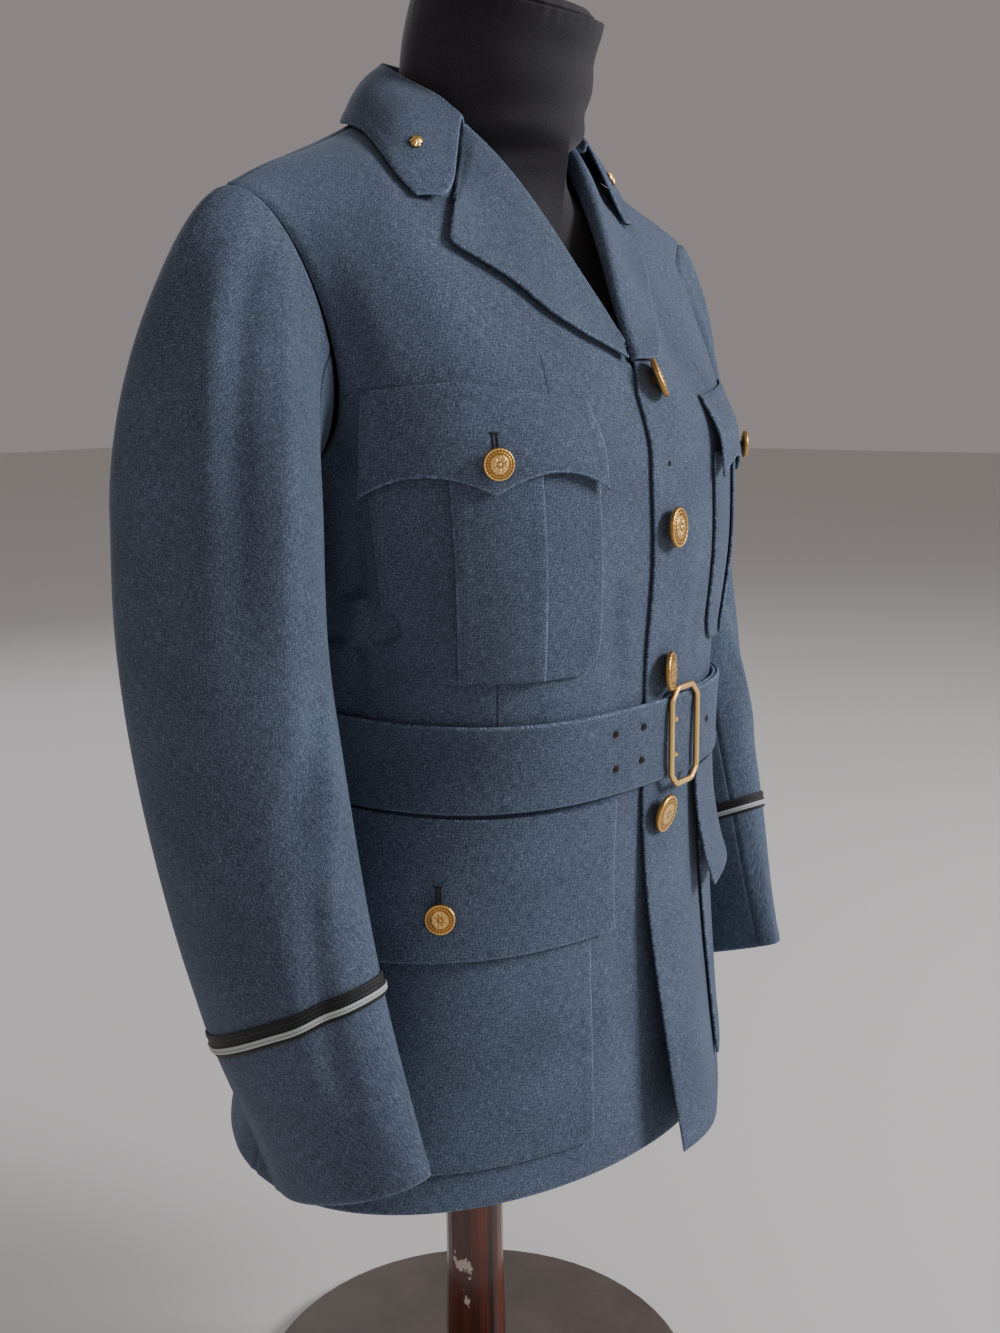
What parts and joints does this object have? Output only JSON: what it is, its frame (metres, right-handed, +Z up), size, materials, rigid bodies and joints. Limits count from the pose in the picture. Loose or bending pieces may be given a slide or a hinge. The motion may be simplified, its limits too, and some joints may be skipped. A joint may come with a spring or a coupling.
{
  "type": "belted military officer's tunic on its limbless dress form and pole stand",
  "caption": "Blue-grey wool officer's tunic with belt, patch pockets and gilt buttons, shown on a black limbless dress form on a turned wooden pole and round base.",
  "frame": {"origin": "centre of the underside of the round base plate", "axes": "+Z up, -Y the front of the tunic, +X the wearer's left"},
  "size_m": [0.5588, 0.3465, 0.9937],
  "materials": {
    "cloth": "blue-grey wool barathea, fine diagonal rib, matt with a soft nap",
    "lace": "black woven mohair rank lace",
    "stripe": "pale blue-grey woven rank stripe",
    "gilt": "stamped brass, dulled gilt, slightly tarnished",
    "form": "black stretched cotton jersey",
    "pole": "reddish-brown varnished turned wood, chipped",
    "base": "dark taupe painted disc with a worn light rim"
  },
  "bodies": {
    "root": {"back_left": "cloth", "back_right": "cloth", "base_plate": "base", "belt": "cloth", "buckle_frame": "gilt", "buckle_prong_lower": "gilt", "buckle_prong_upper": "gilt", "chest_button_left": "gilt", "chest_button_right": "gilt", "chest_flap_left": "cloth", "chest_flap_right": "cloth", "chest_pleat_left": "cloth", "chest_pleat_right": "cloth", "chest_pocket_left": "cloth", "chest_pocket_right": "cloth", "collar": "cloth", "collar_pin_left": "gilt", "collar_pin_right": "gilt", "dress_form": "form", "front_button_a": "gilt", "front_button_b": "gilt", "front_button_c": "gilt", "front_button_d": "gilt", "front_left": "cloth", "front_right": "cloth", "hip_button_left": "gilt", "hip_button_right": "gilt", "hip_flap_left": "cloth", "hip_flap_right": "cloth", "hip_pocket_left": "cloth", "hip_pocket_right": "cloth", "lace_left": "lace", "lace_right": "lace", "lace_stripe_left": "stripe", "lace_stripe_right": "stripe", "lapel_left": "cloth", "lapel_right": "cloth", "neck_cap": "form", "pole": "pole", "sleeve_top_left": "cloth", "sleeve_top_right": "cloth", "sleeve_under_left": "cloth", "sleeve_under_right": "cloth"}
  },
  "joints": []
}
